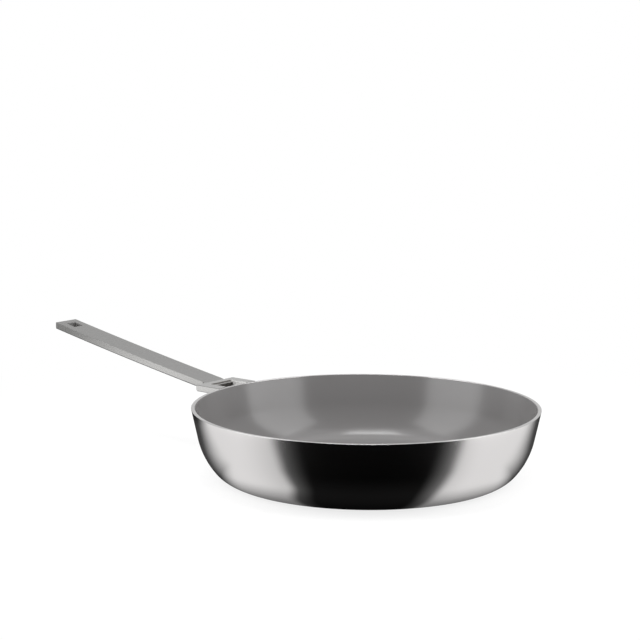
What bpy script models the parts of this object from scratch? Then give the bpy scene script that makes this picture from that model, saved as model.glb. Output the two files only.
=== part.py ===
"""Deep frying pan with a forked steel handle.

The pan stands on z = 0 with its axis on z, and its handle runs along +x. Lengths are metres,
angles are degrees. A turned bowl of aluminium carries a ceramic lining inside and a perforated
steel disc under its base. The handle is a flat steel bar whose tongue passes through the
crossbar of a forked yoke. Each arm of the yoke ends in a foot that lies on the outside of the
wall, where a stud welded to the wall, a split washer and a cap nut hold it.
"""
import math

import bmesh
import bpy
from mathutils import Matrix, Vector

# Bowl
RIM_RADIUS = 0.1400
PAN_HEIGHT = 0.0584
WALL = 0.0026
FLOOR = 0.0032
WALL_DRAFT = 12.3
BELLY_RADIUS = 0.0589
BELLY_TURN = 28.0
BASE_CORNER_RADIUS = 0.0256
RIM_ROUNDING = 0.0004

# Lining
LINING = 0.0004
LINING_DROP = 0.0005

# Induction disc and the aluminium pressed up through its holes
DISC_MARGIN = 0.008
DISC_THICKNESS = 0.0008
DISC_PROUD = 0.0003
HOLE_RADIUS = 0.0032
HOLE_SPACING = 0.0175
BARE_RINGS = 1
HOLE_EDGE_MARGIN = 0.006

# Yoke
YOKE_LIFT = 0.0004
YOKE_THICKNESS = 0.0054
YOKE_REACH = 0.0241
CROSSBAR_WIDTH = 0.0073
WINDOW_CLEARANCE = 0.0006
ARM_WIDTH = 0.0104
YOKE_HEEL_ROUNDING = 0.0018
FOOT_THICKNESS = 0.0030
FOOT_TAIL = 0.0085
FOOT_ROUNDING = 0.0040

# Handle bar
HANDLE_WIDTH = 0.0245
HANDLE_THICKNESS = 0.0055
HANDLE_LENGTH = 0.1850
HANDLE_RISE = 9.4
HANDLE_BOW = 1.8
HANDLE_EDGE = 0.0003
TONGUE_THICKNESS = 0.0030
TONGUE_REACH = 0.0022
HANG_HOLE = 0.0095
HANG_HOLE_MARGIN = 0.0070

# Fixing through each foot
STUD_RADIUS = 0.0025
STUD_DROP = 0.0160
STUD_IN_NUT = 0.0036
STUD_TIP_CHAMFER = 0.0005
WASHER_RADIUS = 0.0044
WASHER_THICKNESS = 0.0012
WASHER_SLIT = 0.0010
NUT_ACROSS_FLATS = 0.0080
NUT_HEX_HEIGHT = 0.0042
NUT_DOME_RADIUS = 0.0037
NUT_CROWN = 0.0012

# Gap between pieces that touch, and how finely round forms are drawn
TOUCH_GAP = 0.0003
TURN_STEPS = 72
BELLY_STEPS = 4
CORNER_STEPS = 6
ROUNDING_STEPS = 3
SMALL_TURN_STEPS = 20
HOLE_STEPS = 10
BOW_STEPS = 14
CUT_OVERSHOOT = 0.004
SHARP_ANGLE = 30.0

draft = math.radians(WALL_DRAFT)
belly_end = math.radians(WALL_DRAFT + BELLY_TURN)
disc_seat_z = DISC_THICKNESS + TOUCH_GAP
floor_z = disc_seat_z + FLOOR
yoke_top = PAN_HEIGHT + YOKE_LIFT
yoke_back = RIM_RADIUS + YOKE_REACH
crossbar_front = yoke_back - CROSSBAR_WIDTH
window_width = HANDLE_WIDTH + 2 * WINDOW_CLEARANCE
yoke_width = window_width + 2 * ARM_WIDTH


def clear_scene():
    """Removes every object, so that the script can be run again in the same file."""
    for old in list(bpy.data.objects):
        bpy.data.objects.remove(old, do_unlink=True)


def new_collection(name):
    """Adds a collection to the scene."""
    collection = bpy.data.collections.new(name)
    bpy.context.scene.collection.children.link(collection)
    return collection


def metal(name, colour, roughness, metallic=1.0):
    """A plain Principled material with one colour."""
    material = bpy.data.materials.new(name)
    material.use_nodes = True
    shader = material.node_tree.nodes["Principled BSDF"]
    shader.inputs["Base Color"].default_value = (*colour, 1.0)
    shader.inputs["Roughness"].default_value = roughness
    shader.inputs["Metallic"].default_value = metallic
    return material


def link_part(part, material):
    """Puts a finished sub-part in the pan's collection with its own material."""
    part.data.materials.clear()
    part.data.materials.append(material)
    pan_parts.objects.link(part)
    return part


def link_cutter(cutter):
    """Keeps a cutter or a joined blank in the file as a wire guide that doesn't render."""
    cutters.objects.link(cutter)
    cutter.hide_render = True
    cutter.display_type = "WIRE"
    return cutter


def smooth(part):
    """Round faces shade smooth, and edges past the sharp angle stay crisp."""
    part.data.shade_smooth()
    part.data.set_sharp_from_angle(angle=math.radians(SHARP_ANGLE))


def arc(centre, radius, start, end, steps):
    """Points of an arc around (r, z), where 0 points outwards and a quarter turn points down."""
    points = []
    for step in range(steps + 1):
        angle = start + (end - start) * step / steps
        points.append((centre[0] + radius * math.cos(angle), centre[1] - radius * math.sin(angle)))
    return points


def wall_line(inset, top_z, foot_z):
    """The bowl's side, moved inwards by inset, from top_z down to where it meets foot_z level.

    A straight drafted wall runs into the belly arc, and a tighter arc turns level at foot_z.
    """
    corner_drop = BASE_CORNER_RADIUS * (1 - math.sin(belly_end))
    belly_drop = BELLY_RADIUS * (math.sin(belly_end) - math.sin(draft))
    straight_drop = PAN_HEIGHT - DISC_PROUD - corner_drop - belly_drop
    belly_top = (RIM_RADIUS - straight_drop * math.tan(draft), PAN_HEIGHT - straight_drop)
    belly_centre = (belly_top[0] - BELLY_RADIUS * math.cos(draft),
                    belly_top[1] + BELLY_RADIUS * math.sin(draft))
    belly = arc(belly_centre, BELLY_RADIUS - inset, draft, belly_end, BELLY_STEPS)
    last_r, last_z = belly[-1]
    corner_radius = (last_z - foot_z) / (1 - math.sin(belly_end))
    corner_centre = (last_r - corner_radius * math.cos(belly_end),
                     last_z + corner_radius * math.sin(belly_end))
    corner = arc(corner_centre, corner_radius, belly_end, math.pi / 2, CORNER_STEPS)
    top = (RIM_RADIUS - inset / math.cos(draft) + (top_z - PAN_HEIGHT) * math.tan(draft), top_z)
    return [top] + belly + corner[1:]


def turned(name, profile, steps):
    """A solid turned about its own z axis from a profile of (r, z) that ends on the axis."""
    mesh = bpy.data.meshes.new(name)
    edges = [(index, index + 1) for index in range(len(profile) - 1)]
    mesh.from_pydata([(r, 0, z) for r, z in profile], edges, [])
    solid = bpy.data.objects.new(name, mesh)
    screw = solid.modifiers.new("Turn", "SCREW")
    screw.axis = "Z"
    screw.steps = steps
    screw.render_steps = steps
    screw.use_merge_vertices = True
    screw.merge_threshold = 0.00001
    screw.use_smooth_shade = True
    return solid


def turned_ring(name, profile, steps):
    """A ring turned about its own z axis from a closed profile of (r, z)."""
    return turned(name, profile + profile[:1], steps)


def cylinder(name, radius, low, high, steps):
    """A capped cylinder on its own z axis from low to high."""
    mesh = bpy.data.meshes.new(name)
    shape = bmesh.new()
    middle = Matrix.Translation((0, 0, (low + high) / 2))
    bmesh.ops.create_cone(shape, cap_ends=True, segments=steps, radius1=radius, radius2=radius,
                          depth=high - low, matrix=middle)
    shape.to_mesh(mesh)
    shape.free()
    return bpy.data.objects.new(name, mesh)


def box(name, low, high):
    """A box between two corners."""
    size = [top - bottom for bottom, top in zip(low, high)]
    middle = [(top + bottom) / 2 for bottom, top in zip(low, high)]
    mesh = bpy.data.meshes.new(name)
    shape = bmesh.new()
    bmesh.ops.create_cube(shape, size=1.0)
    bmesh.ops.scale(shape, vec=size, verts=shape.verts)
    bmesh.ops.translate(shape, vec=middle, verts=shape.verts)
    shape.to_mesh(mesh)
    shape.free()
    return bpy.data.objects.new(name, mesh)


def plate(name, outline, half_thickness, placement):
    """A flat outline in its own xy plane, thickened both ways, turned into a mesh object."""
    curve = bpy.data.curves.new(name, "CURVE")
    curve.dimensions = "2D"
    curve.fill_mode = "BOTH"
    curve.extrude = half_thickness
    spline = curve.splines.new("POLY")
    spline.points.add(len(outline) - 1)
    for point, (x, y) in zip(spline.points, outline):
        point.co = (x, y, 0, 1)
    spline.use_cyclic_u = True
    flat = bpy.data.objects.new(f"{name}_outline", curve)
    flat.matrix_world = placement
    bpy.context.scene.collection.objects.link(flat)
    bpy.context.view_layer.update()
    evaluated = flat.evaluated_get(bpy.context.evaluated_depsgraph_get())
    mesh = bpy.data.meshes.new_from_object(evaluated)
    shape = bmesh.new()
    shape.from_mesh(mesh)
    bmesh.ops.remove_doubles(shape, verts=shape.verts, dist=0.00001)
    bmesh.ops.recalc_face_normals(shape, faces=shape.faces)
    shape.to_mesh(mesh)
    shape.free()
    solid = bpy.data.objects.new(name, mesh)
    solid.matrix_world = placement
    bpy.data.objects.remove(flat, do_unlink=True)
    return solid


def copies_in_one(name, source, places):
    """One object that holds a copy of a mesh at each place, none of them touching."""
    mesh = bpy.data.meshes.new(name)
    shape = bmesh.new()
    for place in places:
        before = len(shape.verts)
        shape.from_mesh(source.data)
        shape.verts.ensure_lookup_table()
        bmesh.ops.translate(shape, vec=place, verts=shape.verts[before:])
    shape.to_mesh(mesh)
    shape.free()
    bpy.data.objects.remove(source, do_unlink=True)
    return bpy.data.objects.new(name, mesh)


def combine(part, tool, operation):
    """Adds an exact Boolean to a part."""
    modifier = part.modifiers.new(f"{operation.title()} {tool.name}", "BOOLEAN")
    modifier.operation = operation
    modifier.object = tool
    modifier.solver = "EXACT"


def base_flat_radius():
    """Radius of the level part of the bowl's underside."""
    return wall_line(0, PAN_HEIGHT, DISC_PROUD)[-1][0]


def hole_places():
    """Centres of the disc's holes: each ring outwards has six more, and the middle stays solid."""
    places = []
    last_radius = base_flat_radius() - DISC_MARGIN - HOLE_EDGE_MARGIN - HOLE_RADIUS
    for ring in range(BARE_RINGS + 1, int(last_radius / HOLE_SPACING) + 1):
        radius = ring * HOLE_SPACING
        for index in range(6 * ring):
            angle = 2 * math.pi * index / (6 * ring)
            places.append(Vector((radius * math.cos(angle), radius * math.sin(angle), 0)))
    return places


def make_pan_body():
    """The turned bowl, with a flat rim and a seat under its base for the induction disc."""
    rim_inner = RIM_RADIUS - WALL / math.cos(draft)
    quarter = math.pi / 2
    inner_edge = arc((rim_inner + RIM_ROUNDING, PAN_HEIGHT - RIM_ROUNDING), RIM_ROUNDING,
                     -2 * quarter, -quarter, ROUNDING_STEPS)
    outer_edge = arc((RIM_RADIUS - RIM_ROUNDING, PAN_HEIGHT - RIM_ROUNDING), RIM_ROUNDING,
                     -quarter, 0, ROUNDING_STEPS)
    inside = wall_line(WALL, PAN_HEIGHT, floor_z)[1:]
    outside = wall_line(0, PAN_HEIGHT, DISC_PROUD)[1:]
    seat_radius = base_flat_radius() - DISC_MARGIN + TOUCH_GAP
    profile = [(0, floor_z)] + inside[::-1] + inner_edge + outer_edge + outside
    profile += [(seat_radius, DISC_PROUD), (seat_radius, disc_seat_z), (0, disc_seat_z)]
    body = turned("pan_body", profile, TURN_STEPS)

    boss = cylinder("boss", HOLE_RADIUS - TOUCH_GAP, DISC_PROUD, disc_seat_z + FLOOR / 2, HOLE_STEPS)
    bosses = link_cutter(copies_in_one("base_bosses", boss, hole_places()))
    combine(body, bosses, "UNION")
    return link_part(body, metal("brushed aluminium", (0.62, 0.62, 0.61), 0.32))


def make_lining():
    """The ceramic layer that covers the bowl's inside up to just below the rim."""
    outer_inset = WALL + TOUCH_GAP
    inner_inset = outer_inset + LINING
    top_z = PAN_HEIGHT - RIM_ROUNDING - LINING_DROP
    inner = wall_line(inner_inset, top_z, floor_z + TOUCH_GAP + LINING)
    outer = wall_line(outer_inset, top_z, floor_z + TOUCH_GAP)
    profile = [(0, inner[-1][1])] + inner[::-1] + outer + [(0, outer[-1][1])]
    lining = turned("nonstick_lining", profile, TURN_STEPS)
    return link_part(lining, metal("grey ceramic", (0.19, 0.19, 0.19), 0.35, 0.0))


def make_induction_disc():
    """The magnetic steel disc, perforated so that the aluminium grips it."""
    radius = base_flat_radius() - DISC_MARGIN
    disc = cylinder("induction_disc", radius, 0, DISC_THICKNESS, TURN_STEPS)
    hole = cylinder("hole", HOLE_RADIUS, -CUT_OVERSHOOT, DISC_THICKNESS + CUT_OVERSHOOT, HOLE_STEPS)
    holes = link_cutter(copies_in_one("disc_holes", hole, hole_places()))
    combine(disc, holes, "DIFFERENCE")
    return link_part(disc, metal("magnetic steel", (0.50, 0.49, 0.48), 0.35))


def wall_frame(side, drop, stand_off):
    """Axes on the wall beside the handle: x across, y up the wall, z square out from it.

    The two sides share one direction, so that the yoke slides onto both studs. stand_off is
    counted from the wall line in the handle's own plane.
    """
    across = Vector((0, 1, 0))
    up = Vector((math.sin(draft), 0, math.cos(draft)))
    out = Vector((math.cos(draft), 0, -math.sin(draft)))
    origin = Vector((RIM_RADIUS, 0, PAN_HEIGHT)) - up * drop + out * stand_off
    origin.y = side * (window_width + ARM_WIDTH) / 2
    frame = Matrix((across, up, out)).transposed().to_4x4()
    return Matrix.Translation(origin) @ frame


def make_wall_cutter():
    """The bowl's outside grown by the touching gap, to shape what lies on the wall."""
    top_z = yoke_top + CUT_OVERSHOOT
    line = wall_line(-TOUCH_GAP, top_z, DISC_PROUD - TOUCH_GAP)
    profile = [(0, top_z)] + line + [(0, line[-1][1])]
    return link_cutter(turned("wall_cutter", profile, TURN_STEPS))


def foot_outline():
    """A foot seen square to the wall: an arm's width, with its two lower corners rounded."""
    half = ARM_WIDTH / 2
    low = -FOOT_TAIL
    high = STUD_DROP - (YOKE_THICKNESS / 2 - YOKE_LIFT) / math.cos(draft)
    rounding = min(FOOT_ROUNDING, half)
    right = arc((half - rounding, low + rounding), rounding, 0, math.pi / 2, ROUNDING_STEPS + 1)
    left = arc((rounding - half, low + rounding), rounding, math.pi / 2, math.pi, ROUNDING_STEPS + 1)
    return [(-half, high), (half, high)] + right + left


def tongue_outline(front, back, gap):
    """The handle's tongue from the side, sloped like the bar's top, grown all round by gap."""
    rise = math.radians(HANDLE_RISE)
    outline = []
    for x, depth in ((front, 0), (back, 0), (back, TONGUE_THICKNESS), (front, TONGUE_THICKNESS)):
        grown = depth + gap if depth else -gap
        outline.append((x, yoke_top - (yoke_back - x) * math.tan(rise) - grown / math.cos(rise)))
    return outline


def make_yoke(wall_cutter):
    """The forked bracket: a crossbar, two arms that stop at the wall, and a foot under each."""
    heel = YOKE_HEEL_ROUNDING
    low = yoke_top - YOKE_THICKNESS
    inside_wall = RIM_RADIUS - YOKE_REACH
    heel_arc = arc((yoke_back - heel, low + heel), heel, 0, math.pi / 2, ROUNDING_STEPS)
    side = [(inside_wall, low), (inside_wall, yoke_top), (yoke_back, yoke_top)] + heel_arc
    upright = Matrix.Rotation(math.pi / 2, 4, "X")
    yoke = plate("handle_yoke", side, yoke_width / 2, upright)

    half_slab = (YOKE_REACH + FOOT_THICKNESS) / 2
    face = TOUCH_GAP + FOOT_THICKNESS
    for hand, label in ((1, "left"), (-1, "right")):
        placement = wall_frame(hand, STUD_DROP, face - half_slab)
        foot = link_cutter(plate(f"{label}_foot", foot_outline(), half_slab, placement))
        combine(yoke, foot, "UNION")
    window = box("yoke_window", (inside_wall - CUT_OVERSHOOT, -window_width / 2, low - CUT_OVERSHOOT),
                 (crossbar_front, window_width / 2, yoke_top + CUT_OVERSHOOT))
    combine(yoke, link_cutter(window), "DIFFERENCE")
    slot_line = tongue_outline(crossbar_front - CUT_OVERSHOOT, yoke_back + CUT_OVERSHOOT, TOUCH_GAP)
    slot = plate("tongue_slot", slot_line, HANDLE_WIDTH / 2 + TOUCH_GAP, upright)
    combine(yoke, link_cutter(slot), "DIFFERENCE")
    combine(yoke, wall_cutter, "DIFFERENCE")
    for hand, label in ((1, "left"), (-1, "right")):
        bore = cylinder(f"{label}_stud_hole", STUD_RADIUS + TOUCH_GAP, -YOKE_REACH,
                        face + CUT_OVERSHOOT, SMALL_TURN_STEPS)
        bore.matrix_world = wall_frame(hand, STUD_DROP, 0)
        combine(yoke, link_cutter(bore), "DIFFERENCE")
    return link_part(yoke, metal("satin steel yoke", (0.56, 0.55, 0.54), 0.30))


def make_handle():
    """The bowed flat bar, cut upright at both ends, with a square hole to hang it by.

    Its front is cut away below, which leaves a tongue that goes through the crossbar.
    """
    rise = math.radians(HANDLE_RISE)
    bow = math.radians(HANDLE_BOW)
    bow_radius = HANDLE_LENGTH / bow
    start = Vector((yoke_back, yoke_top))
    centre = start + Vector((-math.sin(rise), math.cos(rise))) * bow_radius
    top_line = []
    for step in range(BOW_STEPS + 1):
        angle = rise + bow * step / BOW_STEPS
        top_line.append((centre.x + bow_radius * math.sin(angle),
                         centre.y - bow_radius * math.cos(angle)))
    depth = HANDLE_THICKNESS / math.cos(rise + bow / 2)
    bottom_line = [(x, z - depth) for x, z in reversed(top_line[1:])]
    shoulder = yoke_back + TOUCH_GAP
    front_top, _, under_shoulder, front_low = tongue_outline(crossbar_front - TONGUE_REACH, shoulder, 0)
    shoulder_low = (shoulder, yoke_top + TOUCH_GAP * math.tan(rise) - depth)
    outline = [front_top] + top_line + bottom_line + [shoulder_low, under_shoulder, front_low]
    upright = Matrix.Rotation(math.pi / 2, 4, "X")
    handle = plate("handle_bar", outline, HANDLE_WIDTH / 2, upright)

    tail_x, tail_z = top_line[-1]
    hole_end = tail_x - HANG_HOLE_MARGIN
    hole = box("hanging_hole", (hole_end - HANG_HOLE, -HANG_HOLE / 2, tail_z - 3 * depth),
               (hole_end, HANG_HOLE / 2, tail_z + depth))
    combine(handle, link_cutter(hole), "DIFFERENCE")
    bevel = handle.modifiers.new("Broken edges", "BEVEL")
    bevel.width = HANDLE_EDGE
    bevel.segments = 1
    bevel.limit_method = "ANGLE"
    bevel.angle_limit = math.radians(60)
    return link_part(handle, metal("satin steel bar", (0.54, 0.53, 0.52), 0.32))


def make_fixing(hand, label, wall_cutter):
    """The welded stud, split washer and cap nut that hold one foot."""
    face = TOUCH_GAP + FOOT_THICKNESS
    washer_low = face + TOUCH_GAP
    nut_low = washer_low + WASHER_THICKNESS + TOUCH_GAP
    stud_tip = nut_low + STUD_IN_NUT
    seat = wall_frame(hand, STUD_DROP, 0)

    stud_profile = [(0, stud_tip), (STUD_RADIUS - STUD_TIP_CHAMFER, stud_tip),
                    (STUD_RADIUS, stud_tip - STUD_TIP_CHAMFER), (STUD_RADIUS, -YOKE_REACH / 2),
                    (0, -YOKE_REACH / 2)]
    stud = turned(f"{label}_stud", stud_profile, SMALL_TURN_STEPS)
    stud.matrix_world = seat
    combine(stud, wall_cutter, "DIFFERENCE")
    link_part(stud, metal(f"aluminium {label} stud", (0.60, 0.60, 0.59), 0.40))

    inner = STUD_RADIUS + TOUCH_GAP
    washer_high = washer_low + WASHER_THICKNESS
    washer_profile = [(inner, washer_high), (WASHER_RADIUS, washer_high), (WASHER_RADIUS, washer_low),
                      (inner, washer_low)]
    washer = turned_ring(f"{label}_split_washer", washer_profile, SMALL_TURN_STEPS)
    washer.matrix_world = seat
    slit = box(f"{label}_washer_slit", (-WASHER_SLIT / 2, -2 * WASHER_RADIUS, washer_low - CUT_OVERSHOOT),
               (WASHER_SLIT / 2, 0, washer_high + CUT_OVERSHOOT))
    slit.matrix_world = seat
    combine(washer, link_cutter(slit), "DIFFERENCE")
    link_part(washer, metal(f"spring steel {label}", (0.45, 0.44, 0.43), 0.35))

    crown_z = nut_low + STUD_IN_NUT + TOUCH_GAP + NUT_CROWN
    dome_z = crown_z - NUT_DOME_RADIUS
    dome = arc((0, dome_z), NUT_DOME_RADIUS, -math.pi / 2, 0, 2 * ROUNDING_STEPS)
    dome[0] = (0, crown_z)
    nut = turned(f"{label}_cap_nut", dome + [(NUT_DOME_RADIUS, nut_low), (0, nut_low)],
                 SMALL_TURN_STEPS)
    nut.matrix_world = seat
    hex_radius = NUT_ACROSS_FLATS / math.sqrt(3)
    hexagon = cylinder(f"{label}_nut_hexagon", hex_radius, nut_low, nut_low + NUT_HEX_HEIGHT, 6)
    hexagon.matrix_world = seat
    combine(nut, link_cutter(hexagon), "UNION")
    bore = cylinder(f"{label}_nut_bore", inner, nut_low - CUT_OVERSHOOT, stud_tip + TOUCH_GAP,
                    SMALL_TURN_STEPS)
    bore.matrix_world = seat
    combine(nut, link_cutter(bore), "DIFFERENCE")
    link_part(nut, metal(f"bright steel {label} nut", (0.60, 0.59, 0.58), 0.22))


clear_scene()
pan_parts = new_collection("deep_frying_pan")
cutters = new_collection("cutters")
make_pan_body()
make_lining()
make_induction_disc()
wall_shape = make_wall_cutter()
make_yoke(wall_shape)
make_handle()
make_fixing(1, "left", wall_shape)
make_fixing(-1, "right", wall_shape)
for sub_part in pan_parts.objects:
    smooth(sub_part)
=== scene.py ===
import math

import bpy
from mathutils import Matrix, Vector


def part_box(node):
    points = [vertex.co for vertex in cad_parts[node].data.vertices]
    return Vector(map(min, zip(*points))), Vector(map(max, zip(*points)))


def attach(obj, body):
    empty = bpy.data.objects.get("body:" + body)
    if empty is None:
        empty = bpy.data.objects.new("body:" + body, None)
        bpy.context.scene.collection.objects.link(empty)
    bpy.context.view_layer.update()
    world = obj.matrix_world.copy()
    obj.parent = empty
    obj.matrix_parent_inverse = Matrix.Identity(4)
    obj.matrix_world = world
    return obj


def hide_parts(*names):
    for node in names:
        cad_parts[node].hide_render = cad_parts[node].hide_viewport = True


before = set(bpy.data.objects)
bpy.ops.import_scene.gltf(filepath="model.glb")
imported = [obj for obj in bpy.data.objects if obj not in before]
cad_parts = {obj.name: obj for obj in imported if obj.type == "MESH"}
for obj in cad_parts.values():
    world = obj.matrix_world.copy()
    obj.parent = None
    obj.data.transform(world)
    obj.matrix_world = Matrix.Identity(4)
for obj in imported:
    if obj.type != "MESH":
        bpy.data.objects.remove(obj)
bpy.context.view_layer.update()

# Camera
# The photograph looks down at the pan by nine degrees through a long lens. Its own axes are x to
# the right, y away from the camera and z up, with the pan's axis at the origin, and the handle
# points away to the left.
HANDLE_BEARING = math.radians(140.68)
CAMERA_PLACE = Vector((-0.0371, -1.5716, 0.3806))
CAMERA_DIP = math.radians(9.12)
CAMERA_ROLL = math.radians(0.17)
CAMERA_LENS = 112.5

photo_to_frame = Matrix.Rotation(-HANDLE_BEARING, 4, "Z")
looking_down = Matrix.Rotation(math.pi / 2 - CAMERA_DIP, 4, "X")
rolled = Matrix.Rotation(CAMERA_ROLL, 4, "Z")
camera = bpy.data.objects.new("camera", bpy.data.cameras.new("camera"))
camera.data.lens = CAMERA_LENS
camera.matrix_world = photo_to_frame @ Matrix.Translation(CAMERA_PLACE) @ looking_down @ rolled
bpy.context.scene.collection.objects.link(camera)
bpy.context.scene.camera = camera
bpy.context.scene.view_settings.view_transform = "Standard"

# Bowl
# A round blank of aluminium pressed and spun to a deep bowl with a drafted wall. Its rim is turned
# flat, its outside polished round and round, and its base has a seat for the induction disc, with
# the metal pressed up through the disc's holes.
WALL = 0.0026
FLOOR = 0.0032
WALL_DRAFT = math.radians(12.3)
BELLY_RADIUS = 0.0589
BELLY_END = math.radians(40.3)
BASE_CORNER_RADIUS = 0.0256
RIM_ROUNDING = 0.00015
RIM_INNER_ROUNDING = 0.00005
CENTRE_PLUG = 0.002
BOWL_SIDES = 256
BELLY_STEPS = 12
CORNER_STEPS = 18
RIM_INNER_STEPS = 4
RIM_OUTER_STEPS = 5
DISC_MARGIN = 0.008
DISC_THICKNESS = 0.0008
DISC_CLEARANCE = 0.0001
BOSS_RADIUS = 0.0032
BOSS_SPACING = 0.0175
BOSS_EDGE_MARGIN = 0.006
BOSS_SIDES = 24
BOSS_EDGE = 0.0002
POLISHED_COLOUR = (0.915, 0.895, 0.89)
RIM_COLOUR = (0.77, 0.757, 0.753)
FINE_GRAIN_DEPTH = 0.0000006
NOISE_SUM = (0.6, 1.4)

quarter = math.pi / 2
bowl_low, bowl_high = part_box("pan_body")
rim_radius = bowl_high.y
pan_height = bowl_high.z
base_z = bowl_low.z
disc_seat_z = DISC_THICKNESS + DISC_CLEARANCE
bowl_floor_z = disc_seat_z + FLOOR


def only(piece):
    """Makes a piece the one that is selected."""
    bpy.ops.object.select_all(action="DESELECT")
    piece.select_set(True)
    bpy.context.view_layer.objects.active = piece


def arc(centre, radius, start, end, steps):
    """Points of an arc in (r, z), where 0 points outwards and a quarter turn points down."""
    points = []
    for step in range(steps + 1):
        turn = start + (end - start) * step / steps
        points.append((centre[0] + radius * math.cos(turn), centre[1] - radius * math.sin(turn)))
    return points


def wall_line(inset, top_z, foot_z):
    """The bowl's side, moved inwards by inset, from top_z down to where it turns level at foot_z."""
    corner_drop = BASE_CORNER_RADIUS * (1 - math.sin(BELLY_END))
    belly_drop = BELLY_RADIUS * (math.sin(BELLY_END) - math.sin(WALL_DRAFT))
    straight_drop = pan_height - base_z - corner_drop - belly_drop
    belly_top = (rim_radius - straight_drop * math.tan(WALL_DRAFT), pan_height - straight_drop)
    belly_centre = (belly_top[0] - BELLY_RADIUS * math.cos(WALL_DRAFT),
                    belly_top[1] + BELLY_RADIUS * math.sin(WALL_DRAFT))
    belly = arc(belly_centre, BELLY_RADIUS - inset, WALL_DRAFT, BELLY_END, BELLY_STEPS)
    last_r, last_z = belly[-1]
    corner_radius = (last_z - foot_z) / (1 - math.sin(BELLY_END))
    corner_centre = (last_r - corner_radius * math.cos(BELLY_END),
                     last_z + corner_radius * math.sin(BELLY_END))
    corner = arc(corner_centre, corner_radius, BELLY_END, quarter, CORNER_STEPS)
    top_r = rim_radius - inset / math.cos(WALL_DRAFT) + (top_z - pan_height) * math.tan(WALL_DRAFT)
    return [(top_r, top_z)] + belly + corner[1:]


def turned(name, profile, sides):
    """A ring pulled along (r, z) points from one end to the other, with both ends closed."""
    bpy.ops.object.select_all(action="DESELECT")
    bpy.ops.mesh.primitive_circle_add(vertices=sides, radius=profile[0][0])
    piece = bpy.context.object
    piece.name = name
    bpy.ops.object.mode_set(mode="EDIT")
    bpy.ops.mesh.select_mode(type="VERT")
    bpy.ops.mesh.select_all(action="SELECT")
    bpy.ops.transform.translate(value=(0, 0, profile[0][1]))
    bpy.ops.mesh.edge_face_add()
    bpy.ops.mesh.select_all(action="DESELECT")
    bpy.ops.mesh.select_non_manifold()
    for (last_r, last_z), (next_r, next_z) in zip(profile, profile[1:]):
        bpy.ops.mesh.extrude_edges_move(TRANSFORM_OT_translate={"value": (0, 0, next_z - last_z)})
        share = next_r / last_r
        bpy.ops.transform.resize(value=(share, share, 1), center_override=(0, 0, next_z))
    bpy.ops.mesh.edge_face_add()
    bpy.ops.mesh.select_all(action="SELECT")
    bpy.ops.mesh.normals_make_consistent(inside=False)
    bpy.ops.object.mode_set(mode="OBJECT")
    return piece


def place_in_mesh(piece):
    """Moves a piece's place, turn and scale into its mesh, so that its object sits at the origin."""
    only(piece)
    bpy.ops.object.transform_apply(location=True, rotation=True, scale=True)


def smooth(piece, degrees):
    """Shades a piece smooth, apart from edges that turn by more than an angle."""
    only(piece)
    bpy.ops.object.shade_smooth_by_angle(angle=math.radians(degrees))


def copy_of(piece, name):
    """A copy of a piece with its own mesh."""
    copy = piece.copy()
    copy.data = piece.data.copy()
    copy.name = name
    bpy.context.scene.collection.objects.link(copy)
    return copy


def join(name, pieces):
    """Makes several objects one piece."""
    bpy.ops.object.select_all(action="DESELECT")
    for piece in pieces:
        piece.select_set(True)
    bpy.context.view_layer.objects.active = pieces[0]
    bpy.ops.object.join()
    pieces[0].name = name
    return pieces[0]


def copies_at(source, places):
    """A copy of a shape at each place, all joined into one object."""
    copies = []
    for place in places:
        copy = copy_of(source, "copy")
        copy.location = place
        copies.append(copy)
    bpy.data.objects.remove(source)
    group = join("copies", copies)
    place_in_mesh(group)
    return group


def base_flat_radius():
    """Radius of the level part of the bowl's underside."""
    return wall_line(0, pan_height, base_z)[-1][0]


def boss_places():
    """Rings of holes in the disc, each with six more than the last. The middle stays solid."""
    last_radius = base_flat_radius() - DISC_MARGIN - BOSS_EDGE_MARGIN - BOSS_RADIUS
    places = []
    for ring in range(2, int(last_radius / BOSS_SPACING) + 1):
        count = 6 * ring
        reach = ring * BOSS_SPACING
        for index in range(count):
            turn = 2 * math.pi * index / count
            places.append((reach * math.cos(turn), reach * math.sin(turn), 0))
    return places


def add_node(tree, kind, inputs=None, **settings):
    """Adds a node, sets its properties, and fills its inputs with values or with other sockets."""
    node = tree.nodes.new(kind)
    for name, value in settings.items():
        setattr(node, name, value)
    for name, value in (inputs or {}).items():
        if isinstance(value, bpy.types.NodeSocket):
            tree.links.new(value, node.inputs[name])
        else:
            node.inputs[name].default_value = value
    return node


def calculate(tree, operation, *values):
    """What a math node makes of some values or sockets."""
    return add_node(tree, "ShaderNodeMath", dict(enumerate(values)), operation=operation).outputs[0]


def mapped(tree, value, from_low, from_high, to_low, to_high, curve="LINEAR"):
    """A value moved from one range to another, and held at that range's ends."""
    inputs = {"Value": value, "From Min": from_low, "From Max": from_high,
              "To Min": to_low, "To Max": to_high}
    return add_node(tree, "ShaderNodeMapRange", inputs, interpolation_type=curve).outputs[0]


def noise(tree, place, scale, detail):
    """A smooth random value, mostly between 0.3 and 0.7."""
    inputs = {"Vector": place, "Scale": scale, "Detail": detail}
    return add_node(tree, "ShaderNodeTexNoise", inputs).outputs["Fac"]


def object_place(tree):
    """The shaded point in the piece's own coordinates."""
    return add_node(tree, "ShaderNodeTexCoord").outputs["Object"]


def split(tree, vector):
    """The X, Y and Z of a vector."""
    return add_node(tree, "ShaderNodeSeparateXYZ", {0: vector}).outputs


def flattened(tree, place):
    """A place moved straight down to z = 0."""
    return add_node(tree, "ShaderNodeVectorMath", {0: place, 1: (1, 1, 0)},
                    operation="MULTIPLY").outputs[0]


def length_of(tree, vector):
    """The length of a vector."""
    return add_node(tree, "ShaderNodeVectorMath", {0: vector}, operation="LENGTH").outputs["Value"]


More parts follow.
